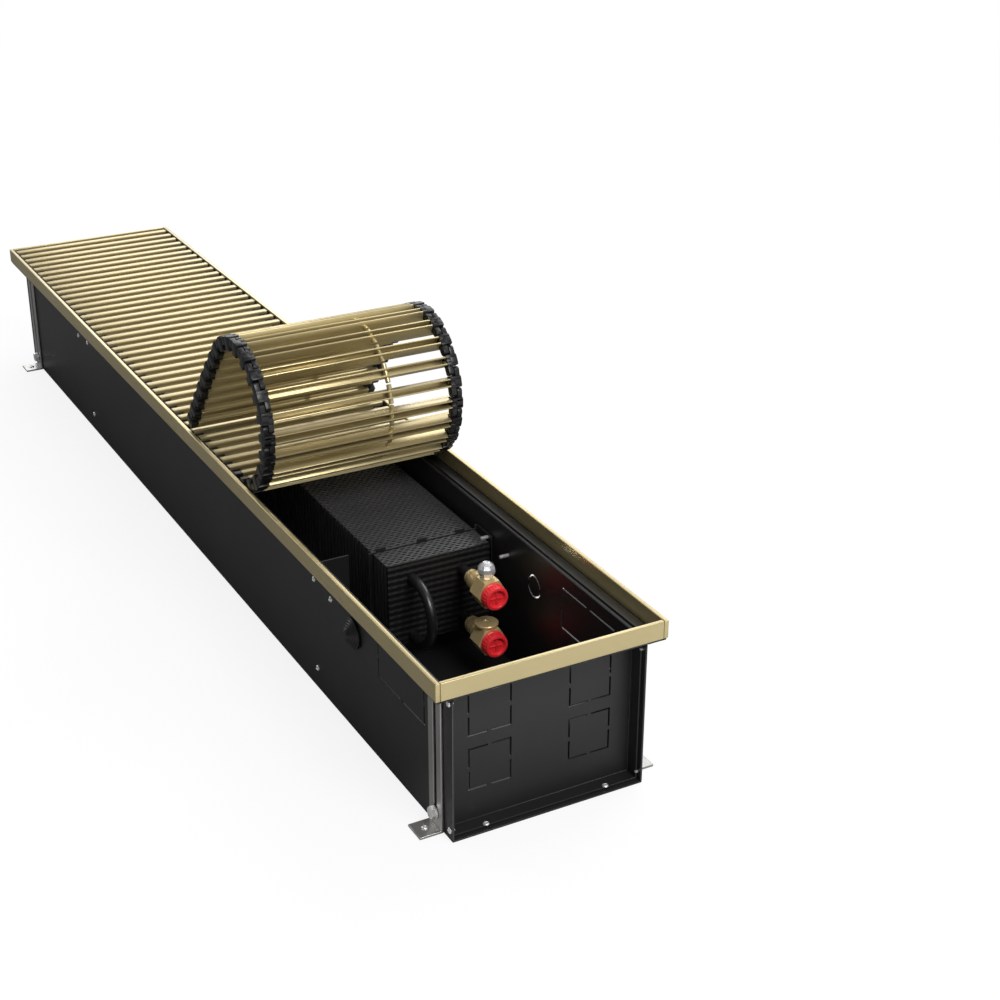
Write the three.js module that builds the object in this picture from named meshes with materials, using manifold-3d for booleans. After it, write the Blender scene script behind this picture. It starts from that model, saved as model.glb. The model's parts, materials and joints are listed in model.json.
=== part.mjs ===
// Trench convector heater: a sheet-steel floor trough with a finned heat exchanger,
// an anodised rim and a roll-up grille that lies partly rolled back.
// Millimetres. +Z is up, X runs across the trough, Y along it. The open end faces -Y.
// The origin is under the middle of the trough, on the floor.
import * as THREE from 'three';
import { mergeVertices } from 'three/addons/utils/BufferGeometryUtils.js';
import Module from 'manifold-3d';

const wasm = await Module();
wasm.setup();

// ---- Driving dimensions -------------------------------------------------------------
const convectorLength = 1500;      // over the rim
const convectorWidth = 260;        // over the rim
const convectorHeight = 190;       // floor to the top of the rim
const seatGap = 0.3;               // between pieces that touch

// Rim
const railThickness = 5;
const railHeight = 20;

// Trough sheets
const sheetThickness = 2;
const wallInset = 20;              // rim's outer face to the wall's outer face
const ledgeLip = 1.5;              // rim's outer face to the ledge's edge
const frontSetback = 6.5;          // rim's outer face to the wall's front edge
const endPlateSetback = 28;        // rim's outer face to the end plate
const endFlange = 16;              // depth of the end plate's side and bottom flanges

// Knock-outs
const knockoutSlot = 2;
const knockoutBridge = 4;
const endKnockoutSize = 49;
const endKnockoutGap = 14;         // between the lower and the upper square
const endKnockoutBase = 39;        // height of the lower square's lower edge
const endKnockoutSpread = 114.5;   // between the two columns' centres
const sideKnockoutLength = 107;
const sideKnockoutHeight = 50;
const sideKnockoutBase = 102;
const sideKnockoutSetback = 65;    // rim's outer face to the knock-out's near edge
const cableHoleSetback = 231;
const cableHoleHeight = 124;
const cableHoleRadius = 14;

// Rubber seat strips under the grille
const seatStripWidth = 12;
const seatStripHeight = 2;

// Grille
const barPitch = 24.4;
const barThickness = 10;
const barHeight = 17.2;
const barCapHeight = 4.8;          // the part of a bar that lies over the end links
const barEndGap = 1.5;             // rim's inner face to a bar's end
const topDrop = 0.5;               // rim's top down to the bars' top
const linkWidth = 14;              // across the bar's end
const linkLength = 13;             // along the chain
const linkInset = 1;               // rim's inner face to the link's outer face
const linkNotch = 1.7;             // the flat chain's top down to the gaps between its links
const earRadius = 5;
const earGap = 0.8;
const pinRadius = 2.1;
const pinClearance = 0.35;
const pinLift = 6.7;               // link's underside to its pin
const spacerOffset = 35;           // middle of the trough to the spacers
const spacerRadius = 3;
const spacerReach = 11.2;          // bar's middle to the spacer's end

// The rolled-back stretch: links in a row, and how far each turns on the one before it
const rollStretches = [
  { links: 2, turn: 5 },
  { links: 9, turn: 16 },
  { links: 4, turn: 18 },
  { links: 7, turn: 1 },
];

// Heat exchanger
const finPackWidth = 129;
const finPackHeight = 102.5;
const finPackBase = 36;
const finPackSetback = 322;        // front end, from the rim's front face
const finPackEndSetback = 120;     // rear end, from the rim's rear face
const finPackWallGap = 8;          // fin pack to the right wall's outer face, less its sheet
const finGroovePitch = 15;
const finGrooveShare = 0.6;         // of the pitch
const finGrooveDepth = 5;
const tubeRadius = 6;
const tubeClearance = 0.3;
const tubeStub = 2;                // tube's end past the fin pack
const flowTubeOffset = 66;         // middle of the trough to the tubes with the unions
const returnTubeOffset = 3;        // middle of the trough to the tubes of the return bend
const flowTubeHeights = { upper: 115, lower: 55 };
const returnTubeHeights = { upper: 118, lower: 44 };
const bendStraight = 12;
const flowPipeReach = 24;          // flow pipe's free length in front of the fin pack
const bracketSetback = 40;         // fin pack's end to its support bracket
const bracketTop = 144;
const bracketNotchLow = 30;
const bracketNotchWidth = 24;
const bracketLegWidth = 51;
const bracketFlange = 36;
const bracketHookHeight = 5;
const bracketHookWidth = 12;
const bracketHookGap = 1;          // hook's root over the fins

// Unions, caps, vent and plug
const unionBodyRadius = 11;
const unionBodyLength = 34;
const unionNutFlats = 31;
const unionNutLength = 20;
const unionSocketDepth = 10;
const threadRadius = 11.5;
const threadLength = 9;
const capRadius = 16;
const capLength = 16;
const capWall = 3;
const capClearance = 0.5;
const capTravelPoint = 0.6;        // cap's rim to the nut
const ventRadius = 11;
const ventHeight = 20;
const ventStemRadius = 5;
const ventStemLength = 4;
const plugRadius = 14;
const plugHeight = 3;
const bossDepth = 5;

// Cable grommet
const grommetFlangeRadius = 18;
const grommetFlange = 3;
const grommetRise = 4.5;           // of each of its steps
const grommetSteps = 2;

// Feet
const footWidth = 27;
const footHeight = 155;
const footThickness = 2.5;
const footReach = 24;              // flange past the leg
const footSlotWidth = 6.5;
const footSlotBase = 12;
const footSlotEnd = 8;             // slot's upper end to the leg's top
const footSetback = 39;            // rim's outer face to the foot's middle
const footHoleRadius = 3.5;
const clampBoltHeight = 18;
const clampBoltRadius = 3;
const clampHeadFlats = 12;
const clampHeadHeight = 6.5;
const clampBoltGrip = 6;           // shank inside the wall

// ---- Derived places -----------------------------------------------------------------
const halfWidth = convectorWidth / 2;
const halfLength = convectorLength / 2;
const railBase = convectorHeight - railHeight;
const ledgeTop = railBase - seatGap;
const ledgeUnder = ledgeTop - sheetThickness;
const wallOuter = halfWidth - wallInset;
const wallInner = wallOuter - sheetThickness;
const wallBase = sheetThickness + seatGap;
const wallEnd = halfLength - frontSetback;
const railInner = halfWidth - railThickness;
const barTop = convectorHeight - topDrop;
const barUnder = barTop - barHeight;
const barCapUnder = barTop - barCapHeight;
const linkOuter = railInner - linkInset;
const linkInner = linkOuter - linkWidth;
const pinHeight = barUnder + pinLift;
const rolledCount = rollStretches.reduce((sum, stretch) => sum + stretch.links, 0);
const barCount = Math.floor((convectorLength - 2 * railThickness) / barPitch);
const flatCount = barCount - rolledCount;
const grilleEndGap = (convectorLength - 2 * railThickness - barCount * barPitch) / 2;
const rearPin = halfLength - railThickness - grilleEndGap;
const foldPin = rearPin - flatCount * barPitch;
const finPackRight = wallInner - finPackWallGap + sheetThickness;
const finPackLeft = finPackRight - finPackWidth;
const finPackTop = finPackBase + finPackHeight;
const finPackFront = -halfLength + finPackSetback;
const finPackRear = halfLength - finPackEndSetback;
const bracketPlaces = [finPackFront + bracketSetback, finPackRear - bracketSetback];

// ---- Shape helpers ------------------------------------------------------------------
const segments = { fine: 20, medium: 14, coarse: 10 };

function toSolid(geometry) {
  const bare = geometry.index ? geometry.toNonIndexed() : geometry.clone();
  for (const name of Object.keys(bare.attributes)) {
    if (name !== 'position') bare.deleteAttribute(name);
  }
  const merged = mergeVertices(bare, 1e-4);
  return new wasm.Manifold(new wasm.Mesh({
    numProp: 3,
    vertProperties: merged.attributes.position.array,
    triVerts: new Uint32Array(merged.index.array),
  }));
}

function toGeometry(solid) {
  const mesh = solid.getMesh();
  const geometry = new THREE.BufferGeometry();
  geometry.setAttribute('position', new THREE.BufferAttribute(mesh.vertProperties, 3));
  geometry.setIndex(new THREE.BufferAttribute(mesh.triVerts, 1));
  geometry.computeVertexNormals();
  return geometry;
}

// Box from its lowest to its highest corner.
function block(x0, x1, y0, y1, z0, z1) {
  const geometry = new THREE.BoxGeometry(x1 - x0, y1 - y0, z1 - z0);
  return toSolid(geometry.translate((x0 + x1) / 2, (y0 + y1) / 2, (z0 + z1) / 2));
}

function outline(points) {
  return new THREE.Shape(points.map(([a, b]) => new THREE.Vector2(a, b)));
}

// Plate whose outline is given as X and Z, from y0 to y1.
function plateAcross(points, y0, y1) {
  const geometry = new THREE.ExtrudeGeometry(outline(points), { depth: y1 - y0, bevelEnabled: false });
  return toSolid(geometry.rotateX(Math.PI / 2).translate(0, y1, 0));
}

// Prism whose outline is given as Y and Z, from x0 to x1.
function plateAlong(points, x0, x1) {
  const geometry = new THREE.ExtrudeGeometry(outline(points), { depth: x1 - x0, bevelEnabled: false });
  const axes = new THREE.Matrix4().makeBasis(
    new THREE.Vector3(0, 1, 0), new THREE.Vector3(0, 0, 1), new THREE.Vector3(1, 0, 0));
  return toSolid(geometry.applyMatrix4(axes).translate(x0, 0, 0));
}

// Points of a regular polygon or arc around a centre.
function arc(centreA, centreB, radius, from, to, steps) {
  return Array.from({ length: steps + 1 }, (_, i) => {
    const angle = from + (to - from) * i / steps;
    return [centreA + radius * Math.cos(angle), centreB + radius * Math.sin(angle)];
  });
}

// Solid of revolution around +Z; the profile is radius and height, from axis to axis.
function turned(profile, steps) {
  const points = profile.map(([radius, height]) => new THREE.Vector2(radius, height));
  return toSolid(new THREE.LatheGeometry(points, steps).rotateX(Math.PI / 2));
}

// Cylinder along X, Y or Z, from one end to the other.
function rod(axis, radius, from, to, steps, place = [0, 0, 0]) {
  const geometry = new THREE.CylinderGeometry(radius, radius, to - from, steps);
  if (axis === 'x') geometry.rotateZ(-Math.PI / 2);
  if (axis === 'z') geometry.rotateX(Math.PI / 2);
  const middle = { x: 0, y: 0, z: 0 };
  middle[axis] = (from + to) / 2;
  return toSolid(geometry.translate(place[0] + middle.x, place[1] + middle.y, place[2] + middle.z));
}

// Radius of a faceted bore whose flats clear a round of the given radius.
function boreRadius(radius, clearance, steps) {
  return (radius + clearance) / Math.cos(Math.PI / steps);
}

function join(...solids) {
  return solids.flat().reduce((whole, solid) => whole.add(solid));
}

function mirrored(solid) {
  return solid.mirror([1, 0, 0]);
}

function mirroredEnd(solid) {
  return solid.mirror([0, 1, 0]);
}

// ---- Materials ----------------------------------------------------------------------
function finish(color, roughness, metalness) {
  return () => new THREE.MeshStandardMaterial({ color, roughness, metalness });
}
const blackCoat = finish(0x1c1c1e, 0.45, 0.2);
const goldAnodised = finish(0xc2b078, 0.35, 0.9);
const blackRubber = finish(0x141414, 0.8, 0);
const blackPlastic = finish(0x2a2a2d, 0.5, 0);
const blackFin = finish(0x111112, 0.5, 0.3);
const brass = finish(0xc09a50, 0.3, 1);
const redPlastic = finish(0xd8202c, 0.4, 0);
const chrome = finish(0xd8d8dc, 0.15, 1);
const stainless = finish(0xb8b8b6, 0.3, 1);

const heater = new THREE.Group();

function addPiece(name, solid, material) {
  const mesh = new THREE.Mesh(toGeometry(solid), material());
  mesh.name = name;
  heater.add(mesh);
  return mesh;
}

// ---- Knock-outs: a slot drawn round a shape, broken by a bridge in the middle of each side
function rectangleKnockout(a0, a1, b0, b1, prism) {
  const ring = prism([[a0, b0], [a1, b0], [a1, b1], [a0, b1]]).subtract(prism([
    [a0 + knockoutSlot, b0 + knockoutSlot], [a1 - knockoutSlot, b0 + knockoutSlot],
    [a1 - knockoutSlot, b1 - knockoutSlot], [a0 + knockoutSlot, b1 - knockoutSlot]]));
  const middleA = (a0 + a1) / 2;
  const middleB = (b0 + b1) / 2;
  const half = knockoutBridge / 2;
  const upright = prism([[middleA - half, b0 - 1], [middleA + half, b0 - 1],
    [middleA + half, b1 + 1], [middleA - half, b1 + 1]]);
  const level = prism([[a0 - 1, middleB - half], [a1 + 1, middleB - half],
    [a1 + 1, middleB + half], [a0 - 1, middleB + half]]);
  return ring.subtract(upright).subtract(level);
}

function roundKnockout(centreA, centreB, radius, prism) {
  const circle = (size) => arc(centreA, centreB, size, 0, 2 * Math.PI, segments.medium).slice(0, -1);
  const ring = prism(circle(radius)).subtract(prism(circle(radius - knockoutSlot)));
  const reach = radius + 1;
  const half = knockoutBridge / 2;
  return ring.subtract(prism([[centreA - reach, centreB - half], [centreA + reach, centreB - half],
    [centreA + reach, centreB + half], [centreA - reach, centreB + half]]));
}

// ---- Trough -------------------------------------------------------------------------
function buildTrough() {
  addPiece('trough_base',
    block(-wallOuter, wallOuter, -wallEnd, wallEnd, 0, sheetThickness), blackCoat);

  const ledgeEnd = halfLength - ledgeLip;
  const wallCut = (points) => plateAlong(points, wallInner - 1, wallOuter + 1);
  const knockoutStart = -halfLength + sideKnockoutSetback;
  const cableHoleCentre = -halfLength + cableHoleSetback;
  const cableHole = rod('x', cableHoleRadius, wallInner - 1, wallOuter + 1, segments.medium,
    [0, cableHoleCentre, cableHoleHeight]);
  const boltBore = boreRadius(clampBoltRadius, seatGap, segments.coarse);
  const boltHoles = [-1, 1].map((end) => rod('x', boltBore, wallInner - 1, wallOuter + 1,
    segments.coarse, [0, end * (halfLength - footSetback), clampBoltHeight]));
  const sheet = join(
    block(wallInner, wallOuter, -wallEnd, wallEnd, wallBase, ledgeTop),
    block(wallInner, halfWidth - ledgeLip, -ledgeEnd, ledgeEnd, ledgeUnder, ledgeTop))
    .subtract(join(boltHoles))
    .subtract(rectangleKnockout(knockoutStart, knockoutStart + sideKnockoutLength,
      sideKnockoutBase, sideKnockoutBase + sideKnockoutHeight, wallCut));
  const knockedOut = roundKnockout(cableHoleCentre, cableHoleHeight, cableHoleRadius, wallCut);
  addPiece('side_wall_right', sheet.subtract(knockedOut), blackCoat);
  addPiece('side_wall_left', mirrored(sheet.subtract(cableHole)), blackCoat);
}

function buildEndPlates() {
  const inner = wallInner - seatGap;
  const face = -halfLength + endPlateSetback;
  const flangeFront = face - endFlange;
  const under = sheetThickness + seatGap;
  const cutter = (points) => plateAcross(points, face - 1, face + sheetThickness + 1);
  const knockouts = [];
  for (const side of [-1, 1]) {
    for (const row of [0, 1]) {
      const middle = side * endKnockoutSpread / 2;
      const low = endKnockoutBase + row * (endKnockoutSize + endKnockoutGap);
      knockouts.push(rectangleKnockout(middle - endKnockoutSize / 2, middle + endKnockoutSize / 2,
        low, low + endKnockoutSize, cutter));
    }
  }
  const plate = join(
    block(-inner, inner, face, face + sheetThickness, under, ledgeTop).subtract(join(knockouts)),
    block(-inner, inner, flangeFront, face + sheetThickness, under, under + sheetThickness),
    block(-inner, -inner + sheetThickness, flangeFront, face + sheetThickness, under, ledgeTop),
    block(inner - sheetThickness, inner, flangeFront, face + sheetThickness, under, ledgeTop),
    block(-inner, inner, -halfLength + ledgeLip, face + sheetThickness, ledgeUnder, ledgeTop));
  addPiece('end_plate_front', plate, blackCoat);
  addPiece('end_plate_rear', mirroredEnd(plate), blackCoat);
}

function buildRim() {
  const side = block(railInner, halfWidth, -halfLength, halfLength, railBase, convectorHeight);
  addPiece('rim_rail_right', side, goldAnodised);
  addPiece('rim_rail_left', mirrored(side), goldAnodised);
  const across = railInner - seatGap;
  const end = block(-across, across, -halfLength, -halfLength + railThickness, railBase, convectorHeight);
  addPiece('rim_rail_front', end, goldAnodised);
  addPiece('rim_rail_rear', mirroredEnd(end), goldAnodised);

  const stripOuter = linkOuter - (linkWidth - seatStripWidth) / 2;
  const stripEnd = halfLength - railThickness - seatGap;
  const strip = block(stripOuter - seatStripWidth, stripOuter, -stripEnd, stripEnd,
    railBase, railBase + seatStripHeight);
  addPiece('seat_strip_right', strip, blackRubber);
  addPiece('seat_strip_left', mirrored(strip), blackRubber);
}

// ---- Heat exchanger -----------------------------------------------------------------
function tubePlaces() {
  return [
    [flowTubeOffset, flowTubeHeights.upper], [flowTubeOffset, flowTubeHeights.lower],
    [returnTubeOffset, returnTubeHeights.upper], [returnTubeOffset, returnTubeHeights.lower],
  ];
}

function tubeBores(from, to, clearance) {
  return join(tubePlaces().map(([x, z]) =>
    rod('y', boreRadius(tubeRadius, clearance, segments.coarse), from, to, segments.coarse, [x, 0, z])));
}

// Fins stand across the trough; the grooves between them show from above.
function finPack(from, to) {
  const count = Math.max(1, Math.floor((to - from) / finGroovePitch));
  const pitch = (to - from) / count;
  const half = pitch * finGrooveShare / 2;
  const profile = [[from, finPackTop], [from, finPackBase], [to, finPackBase], [to, finPackTop]];
  for (let i = count - 1; i >= 0; i -= 1) {
    const middle = from + (i + 0.5) * pitch;
    profile.push([middle + half, finPackTop], [middle + half, finPackTop - finGrooveDepth],
      [middle - half, finPackTop - finGrooveDepth], [middle - half, finPackTop]);
  }
  return plateAlong(profile, finPackLeft, finPackRight).subtract(tubeBores(from - 1, to + 1, tubeClearance));
}

// Path through a row of points, with the same number of steps from each to the next.
class PointPath extends THREE.Curve {
  constructor(points) {
    super();
    this.points = points;
  }

  getPointAt(share) {
    const place = share * (this.points.length - 1);
    const index = Math.min(Math.floor(place), this.points.length - 2);
    return this.points[index].clone().lerp(this.points[index + 1], place - index);
  }

  getTangentAt(share) {
    const index = Math.round(share * (this.points.length - 1));
    const before = this.points[Math.max(0, index - 1)];
    const after = this.points[Math.min(this.points.length - 1, index + 1)];
    return after.clone().sub(before).normalize();
  }
}

// Tube that runs along Y at two places and turns round in a half circle between them.
function bentTube(start, finish, ends, bendAt, direction) {
  const centre = new THREE.Vector3((start[0] + finish[0]) / 2, bendAt, (start[1] + finish[1]) / 2);
  const across = new THREE.Vector3(start[0], bendAt, start[1]).sub(centre);
  const bend = arc(0, 0, across.length(), 0, Math.PI, segments.coarse).map(([side, reach]) =>
    centre.clone().addScaledVector(across, side / across.length())
      .add(new THREE.Vector3(0, direction * reach, 0)));
  const points = [new THREE.Vector3(start[0], ends[0], start[1]), ...bend,
    new THREE.Vector3(finish[0], ends[1], finish[1])];
  const circle = outline(arc(0, 0, tubeRadius, 0, 2 * Math.PI, segments.coarse).slice(0, -1));
  return toSolid(new THREE.ExtrudeGeometry(circle, {
    steps: points.length - 1, bevelEnabled: false, extrudePath: new PointPath(points),
  }));
}

function buildExchanger() {
  const half = sheetThickness / 2 + seatGap;
  addPiece('fin_pack_front', finPack(finPackFront, bracketPlaces[0] - half), blackFin);
  addPiece('fin_pack_main', finPack(bracketPlaces[0] + half, bracketPlaces[1] - half), blackFin);
  addPiece('fin_pack_rear', finPack(bracketPlaces[1] + half, finPackRear), blackFin);

  for (const row of ['upper', 'lower']) {
    const flow = [flowTubeOffset, flowTubeHeights[row]];
    const back = [returnTubeOffset, returnTubeHeights[row]];
    addPiece(`hairpin_tube_${row}`, bentTube(flow, back,
      [finPackFront - flowPipeReach, finPackFront - tubeStub], finPackRear + bendStraight, 1), blackCoat);
  }
  const stubEnd = finPackFront - tubeStub - seatGap;
  addPiece('return_bend', bentTube([returnTubeOffset, returnTubeHeights.upper],
    [returnTubeOffset, returnTubeHeights.lower], [stubEnd, stubEnd],
    finPackFront - bendStraight, -1), blackCoat);
}

function buildBrackets() {
  const inner = wallInner - seatGap;
  const notchRight = finPackLeft - seatGap - 5;
  const notchLeft = -inner + bracketLegWidth;
  const rootTop = finPackTop + bracketHookGap;
  const hookTop = rootTop + bracketHookHeight - bracketHookGap;
  const hookMiddles = [0.08, 0.48, 0.86].map((share) => finPackLeft + share * finPackWidth);
  const hooks = hookMiddles.flatMap((middle) => [
    [middle - bracketHookWidth / 2, rootTop], [middle - bracketHookWidth / 2, hookTop],
    [middle + bracketHookWidth / 2, hookTop], [middle + bracketHookWidth / 2, rootTop]]);
  const base = sheetThickness + seatGap;
  const face = [[-inner, base], [inner, base], [inner, bracketTop],
    [finPackRight + 1, bracketTop], [finPackRight + 1, rootTop], ...hooks.reverse(), [notchRight, rootTop],
    [notchRight, bracketNotchLow], [notchLeft, bracketNotchLow], [notchLeft, bracketTop],
    [-inner, bracketTop]];
  const halfSheet = sheetThickness / 2;
  bracketPlaces.forEach((place, end) => {
    const towards = end === 0 ? -1 : 1;
    const flangeSpan = [place + towards * halfSheet * -1, place + towards * bracketFlange]
      .sort((a, b) => a - b);
    const bracket = join(
      plateAcross(face, place - halfSheet, place + halfSheet)
        .subtract(tubeBores(place - sheetThickness, place + sheetThickness, tubeClearance)),
      block(-inner, -inner + sheetThickness, ...flangeSpan, base, bracketTop),
      block(inner - sheetThickness, inner, ...flangeSpan, base, bracketTop));
    addPiece(end === 0 ? 'support_bracket_front' : 'support_bracket_rear', bracket, blackCoat);
  });
}

// ---- Unions, caps, vent and plug ------------------------------------------------------
function hexPrism(flats, from, to, place) {
  return rod('y', flats / Math.sqrt(3), from, to, 6).rotate([0, 30, 0]).translate(place);
}

function buildConnections() {
  const pipeEnd = finPackFront - flowPipeReach;
  const bodyRear = pipeEnd + unionSocketDepth;
  const bodyFront = bodyRear - unionBodyLength;
  const nutFront = bodyFront - unionNutLength;
  const threadFront = nutFront - threadLength;
  const nutMiddle = (bodyFront + nutFront) / 2;
  const fittings = { upper: ventStemRadius, lower: plugRadius / 2 };
  for (const row of ['upper', 'lower']) {
    const axis = [flowTubeOffset, 0, flowTubeHeights[row]];
    const boss = fittings[row];
    const bossTop = flowTubeHeights[row] + unionNutFlats / 2 + 1;
    const body = join(
      rod('y', unionBodyRadius, bodyFront, bodyRear, segments.medium, axis),
      hexPrism(unionNutFlats, nutFront, bodyFront + 1, axis),
      rod('y', threadRadius, threadFront, nutFront + 1, segments.medium, axis))
      .subtract(rod('y', boreRadius(tubeRadius, seatGap, segments.coarse), pipeEnd - seatGap,
        bodyRear + 1, segments.coarse, axis))
      .subtract(rod('z', boreRadius(boss, seatGap, segments.coarse), bossTop - 1 - bossDepth,
        bossTop + 1, segments.coarse, [flowTubeOffset, nutMiddle, 0]));
    addPiece(`pipe_union_${row}`, body, brass);

    const capFront = nutFront - capTravelPoint - capLength;
    const cap = rod('y', capRadius, capFront, nutFront - capTravelPoint, segments.fine, axis)
      .subtract(rod('y', boreRadius(threadRadius, capClearance, segments.medium), capFront + capWall,
        nutFront, segments.medium, axis));
    const slotHalf = capWall / 3;
    const cross = join(
      block(-capRadius / 2, capRadius / 2, capFront - 1, capFront + slotHalf, -slotHalf, slotHalf),
      block(-slotHalf, slotHalf, capFront - 1, capFront + slotHalf, -capRadius / 2, capRadius / 2))
      .translate(axis);
    addPiece(`protective_cap_${row}`, cap.subtract(cross), redPlastic);
  }

  const socketFloor = (row) => flowTubeHeights[row] + unionNutFlats / 2 - bossDepth + seatGap;
  const ventBase = flowTubeHeights.upper + unionNutFlats / 2 + ventStemLength;
  const ventShoulder = ventBase + ventHeight * 0.45;
  const domeProfile = arc(0, ventShoulder, ventRadius, 0, Math.PI / 2, 4)
    .map(([radius, height]) => [radius, ventShoulder + (height - ventShoulder) * 0.9]);
  domeProfile[domeProfile.length - 1][0] = 0;
  addPiece('air_vent', turned([[0, socketFloor('upper')], [ventStemRadius, socketFloor('upper')],
    [ventStemRadius, ventBase], [ventRadius, ventBase], ...domeProfile], segments.coarse)
    .translate([flowTubeOffset, nutMiddle, 0]), chrome);

  const plugUnder = flowTubeHeights.lower + Math.max(unionNutFlats / 2, capRadius) + seatGap;
  addPiece('blind_plug', turned([[0, socketFloor('lower')], [plugRadius / 2, socketFloor('lower')],
    [plugRadius / 2, plugUnder], [plugRadius, plugUnder], [plugRadius, plugUnder + plugHeight],
    [0, plugUnder + plugHeight]], segments.medium)
    .translate([flowTubeOffset, nutMiddle, 0]), brass);
}

// ---- Cable grommet: a stepped rubber plug in the left wall ----------------------------
function buildGrommet() {
  const neck = cableHoleRadius * Math.cos(Math.PI / segments.medium) - seatGap;
  const outer = sheetThickness + 2 * seatGap + grommetFlange;
  const profile = [[0, -grommetFlange], [neck + 2, -grommetFlange], [neck + 2, 0], [neck, 0],
    [neck, sheetThickness + 2 * seatGap], [grommetFlangeRadius, sheetThickness + 2 * seatGap],
    [grommetFlangeRadius, outer]];
  for (let i = 1; i <= grommetSteps; i += 1) {
    const radius = grommetFlangeRadius * (1 - i / (grommetSteps + 1.5));
    profile.push([radius, outer + (i - 1) * grommetRise], [radius, outer + i * grommetRise]);
  }
  profile.push([0, outer + grommetSteps * grommetRise]);
  const plug = turned(profile, segments.medium).rotate([0, -90, 0]);
  addPiece('cable_grommet', plug.translate([-wallInner + seatGap,
    -halfLength + cableHoleSetback, cableHoleHeight]), blackRubber);
}

// ---- Feet: slotted angles that slide on their clamp bolts -----------------------------
function buildFeet() {
  const legInner = wallOuter + seatGap;
  const legOuter = legInner + footThickness;
  const middle = -halfLength + footSetback;
  const sides = [middle - footWidth / 2, middle + footWidth / 2];
  const slotTop = footHeight - footSlotEnd;
  const slotHalf = footSlotWidth / 2;
  const slot = join(
    block(legInner - 1, legOuter + 1, middle - slotHalf, middle + slotHalf,
      footSlotBase + slotHalf, slotTop - slotHalf),
    rod('x', slotHalf, legInner - 1, legOuter + 1, 8, [0, middle, footSlotBase + slotHalf]),
    rod('x', slotHalf, legInner - 1, legOuter + 1, 8, [0, middle, slotTop - slotHalf]));
  const foot = join(
    block(legInner, legOuter, ...sides, 0, footHeight).subtract(slot),
    block(legInner, legOuter + footReach, ...sides, 0, footThickness))
    .subtract(rod('z', footHoleRadius, -1, footThickness + 1, segments.coarse,
      [legOuter + footReach / 2, middle, 0]));
  const headFrom = legOuter + seatGap;
  const bolt = join(
    rod('x', clampHeadFlats / Math.sqrt(3), headFrom, headFrom + clampHeadHeight, 6,
      [0, middle, clampBoltHeight]),
    rod('x', clampBoltRadius, wallOuter - clampBoltGrip, headFrom + 1, segments.coarse,
      [0, middle, clampBoltHeight]));
  const places = { front_right: [0, 0], front_left: [1, 0], rear_right: [0, 1], rear_left: [1, 1] };
  for (const [name, [left, rear]] of Object.entries(places)) {
    const place = (solid) => {
      const sided = left ? mirrored(solid) : solid;
      return rear ? mirroredEnd(sided) : sided;
    };
    addPiece(`foot_${name}`, place(foot), stainless);
    addPiece(`clamp_bolt_${name}`, place(bolt), stainless);
  }
}

// ---- Grille -----------------------------------------------------------------------------
// A bar lies with its middle at Y = 0; its ends are cut away below for the end links.
function grilleBar(shoulder) {
  const reach = railInner - barEndGap;
  const half = barThickness / 2;
  return join(
    block(-reach, reach, -half, half, barCapUnder, barTop),
    block(-shoulder, shoulder, -half, half, barUnder, barCapUnder + 1));
}

function spacer(from, to) {
  return rod('y', spacerRadius, from, to, 4, [spacerOffset, 0, pinHeight]);
}

function buildFlatGrille() {
  const middles = Array.from({ length: flatCount }, (_, i) => rearPin - (i + 0.5) * barPitch);
  const bars = middles.map((y) => grilleBar(linkInner - seatGap).translate([0, y, 0]));
  const run = spacer(middles[flatCount - 1] - spacerReach, middles[0] + barThickness / 4);
  addPiece('grille_flat_bars', join(bars, run), goldAnodised);

  const linkTop = barCapUnder - seatGap;
  const halfLink = linkLength / 2;
  const notch = linkTop - linkNotch;
  const leading = middles[flatCount - 1];
  const profile = [[leading - halfLink, barUnder], [middles[0] + halfLink, barUnder]];
  middles.forEach((y) => {
    if (y !== middles[0]) profile.push([y + halfLink, notch]);
    profile.push([y + halfLink, linkTop], [y - halfLink, linkTop]);
    if (y !== leading) profile.push([y - halfLink, notch]);
  });
  const chain = plateAlong(profile, linkInner, linkOuter);
  const right = join(chain, frontEars().map((solid) => solid.translate([0, leading, 0])));
  addPiece('grille_flat_chain_right', right, blackPlastic);
  addPiece('grille_flat_chain_left', mirrored(right), blackPlastic);
}

// Half of the link's width is the front ear with its pin, the other half is the rear ear.
function earSplit() {
  const middle = (linkInner + linkOuter) / 2;
  return { outer: [middle + earGap / 2, linkOuter], inner: [linkInner, middle - earGap / 2] };
}

function ear(span, direction) {
  const pivot = direction * barPitch / 2;
  const root = direction * (linkLength / 2 - 1);
  const round = arc(pivot, pinHeight, earRadius, -Math.PI / 2, Math.PI / 2, 4)
    .map(([y, z]) => [pivot + direction * (y - pivot), z]);
  const points = [[root, pinHeight - earRadius], ...round, [root, pinHeight + earRadius]];
  return plateAlong(direction > 0 ? points : points.reverse(), ...span);
}

function frontEars() {
  const { outer, inner } = earSplit();
  const pin = rod('x', pinRadius, inner[0] + seatGap, outer[0] + 1, 6, [0, -barPitch / 2, pinHeight]);
  return [ear(outer, -1), pin];
}

function rearEar() {
  const { inner } = earSplit();
  return ear(inner, 1).subtract(rod('x', pinRadius + pinClearance, inner[0] - 1, inner[1] + 1, 6,
    [0, barPitch / 2, pinHeight]));
}

function grilleLink(isLast) {
  const half = linkLength / 2;
  const carrier = block(linkInner, linkOuter, -half, half, barUnder, barCapUnder - seatGap);
  const side = join(carrier, rearEar(), isLast ? [] : frontEars());
  return join(grilleBar(linkInner + 1), side, mirrored(side), spacer(-spacerReach, spacerReach));
}

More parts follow.
